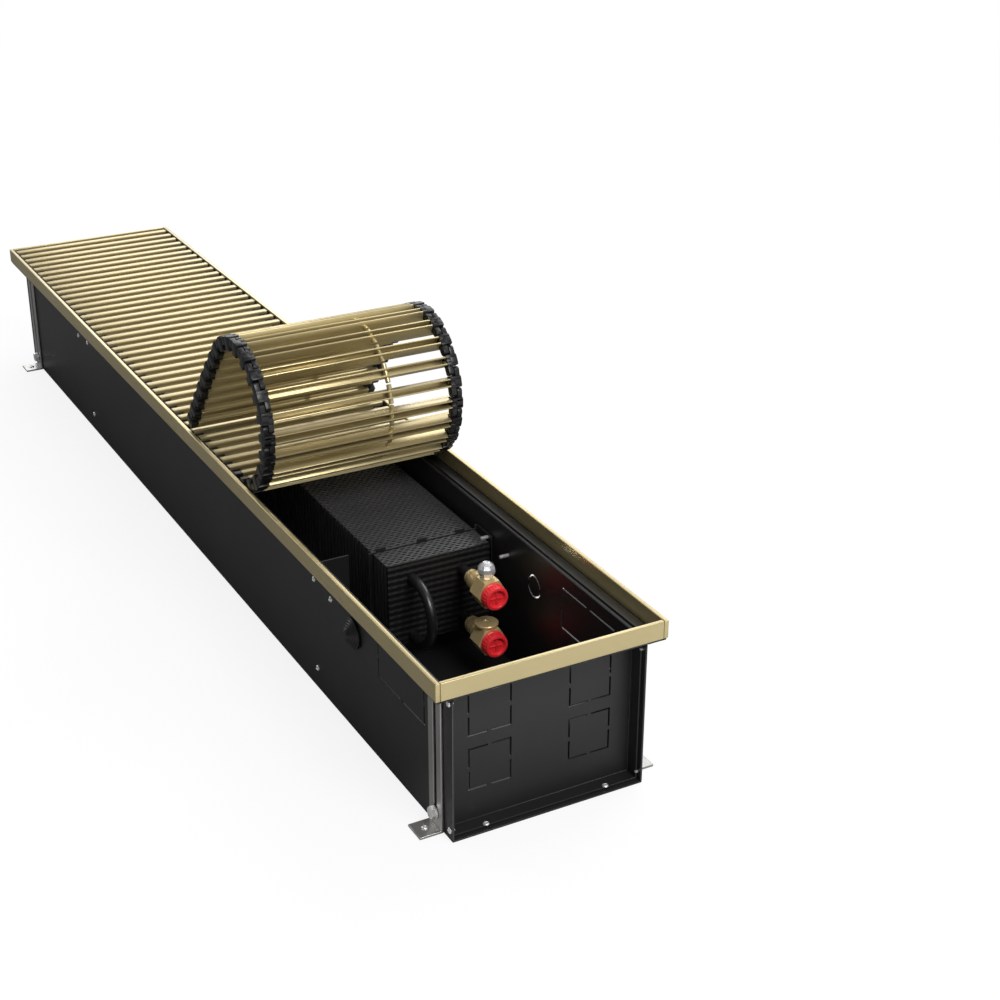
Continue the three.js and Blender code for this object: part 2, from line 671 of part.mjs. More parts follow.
// Each rolled link hinges on the one before it; all of them start from the flat grille.
function buildRolledGrille() {
  const turns = rollStretches.flatMap(({ links, turn }) => Array(links).fill(turn));
  let pin = new THREE.Vector3(0, foldPin, pinHeight);
  let heading = 0;
  turns.forEach((turn, i) => {
    heading += THREE.MathUtils.degToRad(turn);
    const along = new THREE.Vector3(0, -Math.cos(heading), Math.sin(heading));
    const middle = pin.clone().addScaledVector(along, barPitch / 2);
    const link = grilleLink(i === turns.length - 1).translate([0, 0, -pinHeight]);
    const mesh = addPiece(`grille_link_${String(i + 1).padStart(2, '0')}`, link, goldAnodised);
    mesh.rotation.x = -heading;
    mesh.position.copy(middle);
    pin = pin.clone().addScaledVector(along, barPitch);
  });
}

buildTrough();
buildEndPlates();
buildRim();
buildExchanger();
buildBrackets();
buildConnections();
buildGrommet();
buildFeet();
buildFlatGrille();
buildRolledGrille();

export default heater;
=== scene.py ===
import json
import math

import bmesh
import bpy
from mathutils import Matrix, Vector


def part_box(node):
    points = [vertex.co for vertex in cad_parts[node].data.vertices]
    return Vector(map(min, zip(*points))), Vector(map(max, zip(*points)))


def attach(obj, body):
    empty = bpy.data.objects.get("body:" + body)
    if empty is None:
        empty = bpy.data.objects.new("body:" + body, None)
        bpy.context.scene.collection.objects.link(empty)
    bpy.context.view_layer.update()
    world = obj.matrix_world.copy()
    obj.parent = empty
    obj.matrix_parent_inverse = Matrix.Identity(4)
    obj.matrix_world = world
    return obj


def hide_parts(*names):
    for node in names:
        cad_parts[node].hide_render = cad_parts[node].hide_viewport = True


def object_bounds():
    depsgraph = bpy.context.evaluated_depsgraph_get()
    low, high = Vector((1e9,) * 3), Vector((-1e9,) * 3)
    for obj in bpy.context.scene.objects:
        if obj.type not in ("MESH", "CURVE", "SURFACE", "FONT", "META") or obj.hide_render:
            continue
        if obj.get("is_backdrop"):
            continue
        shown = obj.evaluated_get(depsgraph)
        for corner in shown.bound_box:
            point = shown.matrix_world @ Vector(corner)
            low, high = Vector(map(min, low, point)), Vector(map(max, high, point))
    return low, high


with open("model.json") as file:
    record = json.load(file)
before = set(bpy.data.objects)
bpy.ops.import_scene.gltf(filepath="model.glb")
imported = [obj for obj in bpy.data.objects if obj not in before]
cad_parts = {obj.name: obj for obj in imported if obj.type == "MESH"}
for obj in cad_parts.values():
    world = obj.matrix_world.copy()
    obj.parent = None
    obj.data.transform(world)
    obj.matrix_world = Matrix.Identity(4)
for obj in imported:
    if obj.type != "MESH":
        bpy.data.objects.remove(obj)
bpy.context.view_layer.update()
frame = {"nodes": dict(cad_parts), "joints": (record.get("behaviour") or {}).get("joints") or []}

mm = 0.001  # sizes of pieces are given in mm


def addObject(name, mesh, material=None):
    obj = bpy.data.objects.new(name, mesh)
    bpy.context.scene.collection.objects.link(obj)
    if material:
        mesh.materials.clear()
        mesh.materials.append(material)
    return obj


def finishMesh(bm, name, smoothBelow=35):
    mesh = bpy.data.meshes.new(name)
    bm.to_mesh(mesh)
    bm.free()
    mesh.shade_smooth()
    mesh.set_sharp_from_angle(angle=math.radians(smoothBelow))
    return mesh


def softenEdges(bm, width, segments, above=25, only=None):
    edges = [e for e in bm.edges if len(e.link_faces) == 2
             and abs(e.calc_face_angle(0)) > math.radians(above) and (only is None or only(e))]
    if edges and width > 0:
        bmesh.ops.bevel(bm, geom=edges, offset=width * mm, offset_type="OFFSET",
                        segments=segments, profile=0.5, affect="EDGES", clamp_overlap=True)


def addBlock(bm, low, high, bevel=0.0, segments=2):
    part = bmesh.new()
    low, high = Vector(low), Vector(high)
    bmesh.ops.create_cube(part, size=1)
    bmesh.ops.transform(part, matrix=Matrix.Translation((low + high) / 2 * mm)
                        @ Matrix.Diagonal((*((high - low) * mm), 1)), verts=part.verts)
    softenEdges(part, bevel, segments)
    addPart(bm, part)


def addPart(bm, part, matrix=None):
    if matrix is not None:
        bmesh.ops.transform(part, matrix=matrix, verts=part.verts)
    mesh = bpy.data.meshes.new("part")
    part.to_mesh(mesh)
    part.free()
    bm.from_mesh(mesh)
    bpy.data.meshes.remove(mesh)


# outline is a list of (across, up) in mm, drawn out from one place on an axis to another
def addPrism(bm, outline, start, end, axis="x", bevel=0.0, segments=2, above=40):
    part = bmesh.new()
    toSpace = {"x": lambda a, b, c: (c, a, b), "y": lambda a, b, c: (a, c, b)}[axis]
    ends = [[part.verts.new(Vector(toSpace(a, b, c)) * mm) for a, b in outline] for c in (start, end)]
    part.faces.new(ends[0])
    part.faces.new(list(reversed(ends[1])))
    for i in range(len(outline)):
        k = (i + 1) % len(outline)
        part.faces.new((ends[0][k], ends[0][i], ends[1][i], ends[1][k]))
    bmesh.ops.recalc_face_normals(part, faces=part.faces)
    softenEdges(part, bevel, segments, above)
    addPart(bm, part)


# profile is a list of (along, radius) in mm from one end on the axis to the other
def addTurned(bm, profile, steps, axis="y", centre=(0, 0, 0)):
    part = bmesh.new()
    rings = []
    for along, radius in profile:
        if radius == 0:
            rings.append([part.verts.new((0, 0, along * mm))])
            continue
        rings.append([part.verts.new((radius * mm * math.cos(2 * math.pi * k / steps),
                                      radius * mm * math.sin(2 * math.pi * k / steps), along * mm))
                      for k in range(steps)])
    for low, high in zip(rings, rings[1:]):
        for k in range(steps):
            n = (k + 1) % steps
            if len(low) == 1:
                part.faces.new((low[0], high[n], high[k]))
            elif len(high) == 1:
                part.faces.new((low[k], low[n], high[0]))
            else:
                part.faces.new((low[k], low[n], high[n], high[k]))
    bmesh.ops.recalc_face_normals(part, faces=part.faces)
    turn = {"z": Matrix.Identity(4), "y": Matrix.Rotation(math.radians(-90), 4, "X"),
            "x": Matrix.Rotation(math.radians(90), 4, "Y")}[axis]
    addPart(bm, part, Matrix.Translation(Vector(centre) * mm) @ turn)


def addTube(bm, points, radius, sides):
    points = [Vector(p) for p in points]
    part = bmesh.new()
    normal = (points[1] - points[0]).cross(points[len(points) // 2] - points[0]).normalized()
    rings = []
    for i, p in enumerate(points):
        tangent = (points[min(i + 1, len(points) - 1)] - points[max(i - 1, 0)]).normalized()
        side = tangent.cross(normal).normalized()
        rings.append([part.verts.new((p + (normal * math.cos(a) + side * math.sin(a)) * radius) * mm)
                      for a in (2 * math.pi * k / sides for k in range(sides))])
    for low, high in zip(rings, rings[1:]):
        for k in range(sides):
            part.faces.new((low[k], low[(k + 1) % sides], high[(k + 1) % sides], high[k]))
    part.faces.new(rings[0])
    part.faces.new(rings[-1])
    bmesh.ops.recalc_face_normals(part, faces=part.faces)
    addPart(bm, part)


copying = {"mergeWithin": 0.002, "flatWithin": 1, "softenAbove": 40, "wideFace": 1.6}


# Wide faces are shaded flat, so that only rounded edges and bends are smooth
def flattenFaces(mesh):
    for face in mesh.polygons:
        corners = [mesh.vertices[i].co for i in face.vertices]
        around = sum((a - b).length for a, b in zip(corners, corners[1:] + corners[:1]))
        face.use_smooth = face.area < around * copying["wideFace"] * mm


# A copy of a CAD node with its coplanar triangles merged and its edges rounded
def copyNode(node, part, material, bevel, segments=2, bends=(), shortest=0):
    bm = bmesh.new()
    bm.from_mesh(frame["nodes"][node].data)
    bmesh.ops.remove_doubles(bm, verts=bm.verts, dist=copying["mergeWithin"] * mm)
    bmesh.ops.dissolve_limit(bm, angle_limit=math.radians(copying["flatWithin"]), verts=bm.verts,
                             edges=bm.edges)
    for test, width, steps in bends:
        softenEdges(bm, width, steps, only=lambda e: all(test(v.co / mm) for v in e.verts))
    softenEdges(bm, bevel, segments, above=copying["softenAbove"],
                only=lambda e: e.calc_length() > shortest * mm)
    obj = addObject(node + "." + part, finishMesh(bm, node + "." + part), material)
    flattenFaces(obj.data)
    return obj


# One mesh out of two objects, which are then removed
def combine(body, cutter, operation, overlaps=False):
    modifier = body.modifiers.new("cut", "BOOLEAN")
    modifier.operation = operation
    modifier.object = cutter
    modifier.solver = "EXACT"
    modifier.use_self = overlaps
    graph = bpy.context.evaluated_depsgraph_get()
    mesh = bpy.data.meshes.new_from_object(body.evaluated_get(graph))
    for obj in (body, cutter):
        bpy.data.objects.remove(obj)
    return mesh


def place(obj, body, slot, *nodes):
    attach(obj, body)
    if nodes:
        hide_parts(*nodes)
    return obj


surface = {"cloudScale": 14, "cloudDetail": 3, "grainDetail": 2, "noiseLow": 0.3, "noiseHigh": 0.7,
           "bumpDistance": 0.0002}


def newMaterial(name):
    material = bpy.data.materials.new(name)
    material.use_nodes = True
    tree = material.node_tree
    return material, tree, tree.nodes["Principled BSDF"]


def noiseNode(tree, scale, detail, stretch=(1, 1, 1)):
    coords = tree.nodes.new("ShaderNodeTexCoord")
    mapping = tree.nodes.new("ShaderNodeMapping")
    mapping.inputs["Scale"].default_value = stretch
    noise = tree.nodes.new("ShaderNodeTexNoise")
    noise.inputs["Scale"].default_value = scale
    noise.inputs["Detail"].default_value = detail
    tree.links.new(coords.outputs["Object"], mapping.inputs["Vector"])
    tree.links.new(mapping.outputs["Vector"], noise.inputs["Vector"])
    return noise


def rangeNode(tree, source, low, high):
    node = tree.nodes.new("ShaderNodeMapRange")
    node.inputs["From Min"].default_value = surface["noiseLow"]
    node.inputs["From Max"].default_value = surface["noiseHigh"]
    node.inputs["To Min"].default_value = low
    node.inputs["To Max"].default_value = high
    tree.links.new(source, node.inputs["Value"])
    return node


def surfaceMaterial(name, look):
    material, tree, shader = newMaterial(name)
    low, high = look["tones"]
    blend = tree.nodes.new("ShaderNodeMix")
    blend.data_type = "RGBA"
    blend.inputs["A"].default_value = (*low, 1)
    blend.inputs["B"].default_value = (*high, 1)
    cloud = noiseNode(tree, look.get("cloudScale", surface["cloudScale"]), surface["cloudDetail"])
    tone = rangeNode(tree, cloud.outputs["Fac"], 0, 1)
    tree.links.new(tone.outputs["Result"], blend.inputs["Factor"])
    tree.links.new(blend.outputs["Result"], shader.inputs["Base Color"])
    grain = noiseNode(tree, look["grainScale"], surface["grainDetail"], look.get("stretch", (1, 1, 1)))
    rough = rangeNode(tree, grain.outputs["Fac"], *look["roughness"])
    tree.links.new(rough.outputs["Result"], shader.inputs["Roughness"])
    bump = tree.nodes.new("ShaderNodeBump")
    bump.inputs["Strength"].default_value = look["bump"]
    bump.inputs["Distance"].default_value = surface["bumpDistance"]
    tree.links.new(grain.outputs["Fac"], bump.inputs["Height"])
    tree.links.new(bump.outputs["Normal"], shader.inputs["Normal"])
    shader.inputs["Metallic"].default_value = look.get("metallic", 0)
    shader.inputs["Specular IOR Level"].default_value = look.get("specular", 0.5)
    return material


looks = {
    "powderCoat": {"tones": ((0.011, 0.011, 0.012), (0.014, 0.014, 0.015)), "grainScale": 900,
                   "roughness": (0.36, 0.44), "bump": 0.04, "specular": 0.42},
    "goldRail": {"tones": ((0.50, 0.415, 0.215), (0.53, 0.44, 0.23)), "grainScale": 260,
                 "stretch": (1, 0.02, 1), "roughness": (0.26, 0.34), "bump": 0.01, "metallic": 0.72,
                 "specular": 0.9},
    "goldBar": {"tones": ((0.49, 0.405, 0.21), (0.52, 0.43, 0.225)), "grainScale": 260,
                "stretch": (0.02, 1, 1), "roughness": (0.28, 0.36), "bump": 0.01, "metallic": 0.68,
                "specular": 0.9},
    "blackPlastic": {"tones": ((0.006, 0.006, 0.007), (0.009, 0.009, 0.010)), "grainScale": 1500,
                     "roughness": (0.3, 0.38), "bump": 0.02, "specular": 0.38},
    "blackRubber": {"tones": ((0.006, 0.006, 0.006), (0.009, 0.009, 0.009)), "grainScale": 700,
                    "roughness": (0.4, 0.5), "bump": 0.03, "specular": 0.5},
    # The fins and their front face share one black coating. The fins are painted lighter, as painted light
    # on their lit tops, and the face darker, as painted shade
    "finBlackPaintedLight": {"tones": ((0.042, 0.042, 0.044), (0.050, 0.050, 0.052)), "grainScale": 1200,
                 "roughness": (0.38, 0.46), "bump": 0.02, "specular": 0.6},
    "finFacePaintedShade": {"tones": ((0.006, 0.006, 0.006), (0.009, 0.009, 0.009)), "grainScale": 1200,
                "roughness": (0.42, 0.5), "bump": 0.02, "specular": 0.35},
    "tubeBlack": {"tones": ((0.008, 0.008, 0.009), (0.012, 0.012, 0.013)), "grainScale": 500,
                  "roughness": (0.26, 0.34), "bump": 0.03, "specular": 0.6},
    "brass": {"tones": ((0.76, 0.57, 0.28), (0.82, 0.63, 0.33)), "grainScale": 160,
              "roughness": (0.32, 0.38), "bump": 0.003, "metallic": 0.6, "cloudScale": 60},
    "chrome": {"tones": ((0.84, 0.84, 0.86), (0.90, 0.90, 0.92)), "grainScale": 120,
               "roughness": (0.14, 0.18), "bump": 0.003, "metallic": 0.6},
    "redPlastic": {"tones": ((0.82, 0.025, 0.035), (0.88, 0.035, 0.045)), "grainScale": 200,
                   "roughness": (0.28, 0.34), "bump": 0.01, "cloudScale": 40},
    "stainless": {"tones": ((0.36, 0.355, 0.345), (0.44, 0.435, 0.42)), "grainScale": 220,
                  "stretch": (1, 1, 0.04), "roughness": (0.26, 0.36), "bump": 0.01, "metallic": 0.8},
    "zinc": {"tones": ((0.82, 0.82, 0.82), (0.90, 0.90, 0.89)), "grainScale": 200,
             "roughness": (0.18, 0.26), "bump": 0.005, "metallic": 0.7},
}
materials = {name: surfaceMaterial(name, look) for name, look in looks.items()}
print("materials ready:", len(materials))


def newTree(name, sockets):
    tree = bpy.data.node_groups.new(name, "GeometryNodeTree")
    tree.interface.new_socket("Geometry", in_out="INPUT", socket_type="NodeSocketGeometry")
    for label, kind in sockets:
        tree.interface.new_socket(label, in_out="INPUT", socket_type=kind)
    tree.interface.new_socket("Geometry", in_out="OUTPUT", socket_type="NodeSocketGeometry")
    return tree, tree.nodes.new("NodeGroupInput"), tree.nodes.new("NodeGroupOutput")


def endTree(tree, inputs, instances, output):
    realize = tree.nodes.new("GeometryNodeRealizeInstances")
    paint = tree.nodes.new("GeometryNodeSetMaterial")
    tree.links.new(instances, realize.inputs["Geometry"])
    tree.links.new(realize.outputs["Geometry"], paint.inputs["Geometry"])
    tree.links.new(inputs.outputs["Material"], paint.inputs["Material"])
    tree.links.new(paint.outputs["Geometry"], output.inputs["Geometry"])


def copiesOn(tree, inputs, points):
    info = tree.nodes.new("GeometryNodeObjectInfo")
    copies = tree.nodes.new("GeometryNodeInstanceOnPoints")
    tree.links.new(inputs.outputs["Item"], info.inputs["Object"])
    tree.links.new(points, copies.inputs["Points"])
    tree.links.new(info.outputs["Geometry"], copies.inputs["Instance"])
    return copies


def makeRowTree():
    tree, inputs, output = newTree("rowOfItems", [
        ("Item", "NodeSocketObject"), ("Count", "NodeSocketInt"), ("Start", "NodeSocketVector"),
        ("Step", "NodeSocketVector"), ("Material", "NodeSocketMaterial")])
    line = tree.nodes.new("GeometryNodeMeshLine")
    line.mode = "OFFSET"
    for label, socket in (("Count", "Count"), ("Start", "Start Location"), ("Step", "Offset")):
        tree.links.new(inputs.outputs[label], line.inputs[socket])
    copies = copiesOn(tree, inputs, line.outputs["Mesh"])
    endTree(tree, inputs, copies.outputs["Instances"], output)
    return tree


def makeScatterTree():
    tree, inputs, output = newTree("itemsOnPoints", [
        ("Item", "NodeSocketObject"), ("Turn", "NodeSocketVector"), ("Material", "NodeSocketMaterial")])
    copies = copiesOn(tree, inputs, inputs.outputs["Geometry"])
    turn = tree.nodes.new("FunctionNodeEulerToRotation")
    tree.links.new(inputs.outputs["Turn"], turn.inputs["Euler"])
    tree.links.new(turn.outputs["Rotation"], copies.inputs["Rotation"])
    endTree(tree, inputs, copies.outputs["Instances"], output)
    return tree


rowTree = makeRowTree()
scatterTree = makeScatterTree()


def grow(name, tree, values, points=()):
    mesh = bpy.data.meshes.new(name)
    mesh.from_pydata([Vector(p) * mm for p in points] or [(0, 0, 0)], [], [])
    obj = addObject(name, mesh)
    modifier = obj.modifiers.new("nodes", "NODES")
    modifier.node_group = tree
    for item in tree.interface.items_tree:
        if item.in_out == "INPUT" and item.name in values:
            modifier[item.identifier] = values[item.name]
    graph = bpy.context.evaluated_depsgraph_get()
    grown = bpy.data.meshes.new_from_object(obj.evaluated_get(graph))
    obj.modifiers.clear()
    obj.data = grown
    return obj


def makeItem(name, bm, smoothBelow=35):
    return addObject(name, finishMesh(bm, name, smoothBelow))


def dropItem(item):
    bpy.data.objects.remove(item)


trough = {"bevel": 0.45, "shortest": 60, "bendRadius": 3.2, "bendSteps": 5, "ledgeTop": 169.7,
          "wallInner": 108, "within": 0.1}


def isLedgeBend(v):
    return (abs(v.z - trough["ledgeTop"]) < trough["within"]
            and abs(abs(v.x) - trough["wallInner"]) < trough["within"])


for node in ("trough_base", "end_plate_front", "end_plate_rear", "support_bracket_front",
             "support_bracket_rear"):
    shortest = trough["shortest"] if node.startswith("end") else 0  # knock-outs stay sharp
    sheet = copyNode(node, "sheet", materials["powderCoat"], trough["bevel"], shortest=shortest)
    place(sheet, "trough", "coated_steel", node)
for node in ("side_wall_left", "side_wall_right"):
    bends = [(isLedgeBend, trough["bendRadius"], trough["bendSteps"])]
    sheet = copyNode(node, "sheet", materials["powderCoat"], trough["bevel"], bends=bends)
    place(sheet, "trough", "coated_steel", node)
print("trough sheets ready")

rim = {"bevel": 0.9, "steps": 3, "seatBevel": 0.5}
for node in ("rim_rail_left", "rim_rail_right", "rim_rail_front", "rim_rail_rear"):
    look = "goldRail" if node.endswith(("left", "right")) else "goldBar"
    rail = copyNode(node, "rail", materials[look], rim["bevel"], rim["steps"])
    place(rail, "trough", "anodised_rim", node)
for node in ("seat_strip_left", "seat_strip_right"):
    strip = copyNode(node, "strip", materials["blackRubber"], rim["seatBevel"])
    place(strip, "trough", "seat_rubber", node)
print("rim ready")

# Fins wave across the exchanger, in pairs of opposite phase
fins = {"pitch": 4.9, "thickness": 2.5, "inset": 0.2, "gap": 0.1, "wave": 0.9, "wavePeriod": 9.2,
        "samples": 6, "ribPitch": 7.6, "ribDepth": 0.8, "ribSamples": 6, "ribShare": 0.8,
        "rippleShare": 0.2, "rippleBend": 1.5, "rippleRate": 0.9, "smoothBelow": 60}


def waveFin(bm, xs, zs, height, y):
    rows = [[[bm.verts.new(Vector((x, y + side * fins["thickness"] + height(x, z), z)) * mm)
              for x in xs] for z in zs] for side in (0, 1)]
    for side, grid in enumerate(rows):
        for low, high in zip(grid, grid[1:]):
            for i in range(len(xs) - 1):
                quad = (low[i], low[i + 1], high[i + 1], high[i])
                bm.faces.new(quad if side == 0 else tuple(reversed(quad)))
    front, back = rows
    for i in range(len(xs) - 1):
        bm.faces.new((front[-1][i], front[-1][i + 1], back[-1][i + 1], back[-1][i]))
        bm.faces.new((front[0][i + 1], front[0][i], back[0][i], back[0][i + 1]))
    for k in range(len(zs) - 1):
        bm.faces.new((front[k][0], front[k + 1][0], back[k + 1][0], back[k][0]))
        bm.faces.new((front[k + 1][-1], front[k][-1], back[k][-1], back[k + 1][-1]))


def spread(low, high, period, samples):
    count = round((high - low) / period * samples)
    start, end = low + fins["inset"], high - fins["inset"]
    return [start + (end - start) * i / count for i in range(count + 1)]


def finsFor(node, ribbed):
    low, high = (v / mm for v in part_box(node))
    xs = spread(low.x, high.x, fins["wavePeriod"], fins["samples"])
    inner = fins["wave"] + fins["gap"]
    start = low.y + inner + (fins["ribDepth"] + fins["thickness"] if ribbed else 0)
    end = high.y - inner - fins["thickness"]
    pairs = int((end - start) / (2 * fins["pitch"])) + (1 if ribbed else 0)
    step = (end - start) / (2 * pairs - 1)
    bm = bmesh.new()
    for i, phase in enumerate((0, math.pi)):
        def wave(x, z):
            return fins["wave"] * math.sin(2 * math.pi * x / fins["wavePeriod"] + phase)

        waveFin(bm, xs, [low.z + fins["inset"], high.z - fins["inset"]], wave, i * step)
    item = makeItem("finPair", bm, fins["smoothBelow"])
    # The fins take the lighter coating, as painted light on their tops
    row = {"Item": item, "Count": pairs, "Start": (0, start * mm, 0), "Step": (0, 2 * step * mm, 0),
           "Material": materials["finBlackPaintedLight"]}
    place(grow(node + ".fins", rowTree, row), "trough", "fin_coating", node)
    dropItem(item)
    if ribbed:
        addFace(node, low, high, xs)


# The exchanger's front face has level ribs one above the other, with a slight ripple
def addFace(node, low, high, xs):
    def rib(x, z):
        ridge = math.sin(2 * math.pi * (z - low.z) / fins["ribPitch"])
        bend = fins["rippleBend"] * math.sin(z * fins["rippleRate"])
        ripple = math.sin(2 * math.pi * x / fins["wavePeriod"] + bend)
        return fins["ribDepth"] * (fins["ribShare"] * ridge + fins["rippleShare"] * ripple)

    bm = bmesh.new()
    zs = spread(low.z, high.z, fins["ribPitch"], fins["ribSamples"])
    waveFin(bm, xs, zs, rib, low.y + fins["ribDepth"] + fins["gap"])
    mesh = finishMesh(bm, node, fins["smoothBelow"])
    # The face takes the darker coating, as painted shade
    place(addObject(node + ".face", mesh, materials["finFacePaintedShade"]), "trough", "fin_coating", node)


for node in ("fin_pack_front", "fin_pack_main", "fin_pack_rear"):
    finsFor(node, ribbed=node == "fin_pack_front")
print("fins ready")

tubes = {"radius": 6, "sides": 24, "bendSteps": 24, "flowX": 66, "returnX": 3,
         "flow": {"upper": 115, "lower": 55}, "back": {"upper": 118, "lower": 44},
         "flowReach": 24, "returnReach": 2, "bendReach": 12, "frontReach": 2.3, "smoothBelow": 50}


def bentPoints(start, finish, ends, bendAt, direction):
    centre = Vector(((start[0] + finish[0]) / 2, bendAt, (start[1] + finish[1]) / 2))
    across = Vector((start[0], bendAt, start[1])) - centre
    points = [Vector((start[0], ends[0], start[1]))]
    for i in range(tubes["bendSteps"] + 1):
        angle = math.pi * i / tubes["bendSteps"]
        points.append(centre + across * math.cos(angle)
                      + Vector((0, direction * across.length * math.sin(angle), 0)))
    return points + [Vector((finish[0], ends[1], finish[1]))]


def placeTube(node, points):
    bm = bmesh.new()
    addTube(bm, points, tubes["radius"], tubes["sides"])
    mesh = finishMesh(bm, node, tubes["smoothBelow"])
    place(addObject(node + ".tube", mesh, materials["tubeBlack"]), "trough", "coated_tube", node)


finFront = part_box("fin_pack_front")[0].y / mm
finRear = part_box("fin_pack_rear")[1].y / mm
for row in ("upper", "lower"):
    flow, back = (tubes["flowX"], tubes["flow"][row]), (tubes["returnX"], tubes["back"][row])
    ends = (finFront - tubes["flowReach"], finFront - tubes["returnReach"])
    placeTube("hairpin_tube_" + row, bentPoints(flow, back, ends, finRear + tubes["bendReach"], 1))
upper, lower = ((tubes["returnX"], tubes["back"][row]) for row in ("upper", "lower"))
ends = (finFront - tubes["frontReach"], finFront - tubes["frontReach"])
placeTube("return_bend", bentPoints(upper, lower, ends, finFront - tubes["bendReach"], -1))
print("tubes ready")

# The waist is a list of (forward from the rear end, cut off the radius)
union = {"x": 66, "z": {"upper": 115, "lower": 55}, "rear": finFront - 21, "bodyLength": 30,
         "bodyRadius": 11, "nutFlats": 31, "nutLength": 21, "chamfer": 1.6, "steps": 48,
         "waist": ((0, 3), (1, 2), (6, 2), (8, 0.4), (13, 0), (19, 0), (21, 1.6), (26, 1.6), (27.5, 0)),
         "threadRadius": 11.5, "threadLength": 4.8, "threadTurns": 3, "threadDepth": 0.7,
         "threadRoot": 0.5, "boreRadius": 8, "boreDepth": 1, "overlap": 1}
cap = {"radius": 14.6, "length": 11.6, "gap": 0.6, "steps": 64, "wall": 1.4, "boreRadius": 12.3,
       "recessRadius": 9.8, "recessDepth": 3.4, "recessEdge": 0.6,
       "lip": ((0, 2.2), (0.6, 1.2), (1.8, 0.7)), "skirt": ((2.4, 0.7), (1.8, 0.1), (0.4, 0.1), (0, 0.6)),
       "crossReach": 7.6, "crossWidth": 1.5, "crossHeight": 1.4, "crossRoot": 0.3, "crossBevel": 0.3,
       "grips": 24, "gripInset": 0.75, "gripSides": 8,
       "gripFront": ((2, 0), (2, 0.35), (2.6, 0.62)), "gripRear": ((2.6, 0.62), (2.2, 0))}
bodyFront = union["rear"] - union["bodyLength"]
nutFront = bodyFront - union["nutLength"]


def hexagon(start, end, corner):
    part = bmesh.new()
    outline = [(corner * math.cos(math.radians(60 * k)), corner * math.sin(math.radians(60 * k)))
               for k in range(6)]
    addPrism(part, outline, start, end, "y")
    return part


# A nut along y whose corners are cut back by a turned shape
def addNut(bm, centre, start, end, flats, chamfer, slope=0.6, spare=0.05, steps=48):
    corner = flats / math.sqrt(3)
    profile = [(start, 0), (start, corner - chamfer), (start + chamfer * slope, corner + spare),
               (end - chamfer * slope, corner + spare), (end, corner - chamfer), (end, 0)]
    cone = bmesh.new()
    addTurned(cone, profile, steps, "y")
    body = addObject("nutBody", finishMesh(hexagon(start, end, corner), "nutBody"))
    cutter = addObject("nutCone", finishMesh(cone, "nutCone"))
    mesh = combine(body, cutter, "INTERSECT")
    mesh.transform(Matrix.Translation(Vector(centre) * mm))
    bm.from_mesh(mesh)


def placeUnion(row, axis):
    node = "pipe_union_" + row
    rear, radius, front = union["rear"], union["bodyRadius"], bodyFront + union["overlap"]
    waist = [(rear - along, radius - cut) for along, cut in union["waist"]]
    bm = bmesh.new()
    addTurned(bm, [(rear, 0), *waist, (front, radius), (front, 0)], union["steps"], "y", axis)
    addNut(bm, axis, nutFront, bodyFront, union["nutFlats"], union["chamfer"])
    outer, turn = union["threadRadius"], union["threadLength"] / union["threadTurns"]
    root, end = nutFront + union["threadRoot"], nutFront - union["threadLength"]
    thread = [(root, 0), (root, outer)]
    for i in range(union["threadTurns"]):
        at = nutFront - turn * i
        thread += [(at, outer), (at - turn / 2, outer - union["threadDepth"])]
    bore, deep = union["boreRadius"], nutFront - union["boreDepth"]
    thread += [(end, outer), (end, bore), (deep, bore), (deep, 0)]
    addTurned(bm, thread, union["steps"], "y", axis)
    place(addObject(node + ".fitting", finishMesh(bm, node), materials["brass"]), "trough", "brass", node)


def placeCap(row, axis):
    node = "protective_cap_" + row
    rear = nutFront - cap["gap"]
    front = rear - cap["length"]
    deep = front + cap["recessDepth"]
    recess, edge = cap["recessRadius"], cap["recessEdge"]
    profile = [(deep, 0), (deep, recess - edge), (front + edge, recess), (front, recess + edge)]
    profile += [(front + along, cap["radius"] - cut) for along, cut in cap["lip"]]
    profile += [(rear - along, cap["radius"] - cut) for along, cut in cap["skirt"]]
    profile += [(rear, cap["boreRadius"]), (deep + cap["wall"], cap["boreRadius"]), (deep + cap["wall"], 0)]
    bm = bmesh.new()
    addTurned(bm, profile, cap["steps"], "y", axis)
    half = cap["crossWidth"] / 2
    for across, up in ((cap["crossReach"], half), (half, cap["crossReach"])):
        addBlock(bm, (axis[0] - across, deep - cap["crossHeight"], axis[2] - up),
                 (axis[0] + across, deep + cap["crossRoot"], axis[2] + up), cap["crossBevel"])
    grip = [(front + along, radius) for along, radius in cap["gripFront"]]
    grip += [(rear - along, radius) for along, radius in cap["gripRear"]]
    reach = cap["radius"] - cap["gripInset"]
    for k in range(cap["grips"]):
        angle = 2 * math.pi * k / cap["grips"]
        centre = (axis[0] + reach * math.cos(angle), 0, axis[2] + reach * math.sin(angle))
        addTurned(bm, grip, cap["gripSides"], "y", centre)
    place(addObject(node + ".cap", finishMesh(bm, node), materials["redPlastic"]),
          "cap_" + row, "cap_plastic", node)


for row in ("upper", "lower"):
    placeUnion(row, (union["x"], 0, union["z"][row]))
    placeCap(row, (union["x"], 0, union["z"][row]))

vent = {"facets": 8, "seat": 19.1, "clear": 0.1, "stem": 4.8, "smoothBelow": 12,
        "head": ((-3.4, 4.8), (-3.4, 7.6), (-0.4, 8), (0.6, 8.8), (4.2, 10.4), (8.8, 10), (12.6, 7.2),
                 (15.2, 3.8), (15.4, 2.6), (13.4, 2.2), (13.4, 0))}
low, high = (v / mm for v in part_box("air_vent"))
profile = [(low.z + vent["clear"], 0), (low.z + vent["clear"], vent["stem"])]
profile += [(high.z - vent["seat"] + up, radius) for up, radius in vent["head"]]
bm = bmesh.new()
addTurned(bm, profile, vent["facets"], "z", (union["x"], (low.y + high.y) / 2, 0))
place(addObject("air_vent.screw", finishMesh(bm, "vent", vent["smoothBelow"]), materials["chrome"]),
      "air_vent", "vent_chrome", "air_vent")

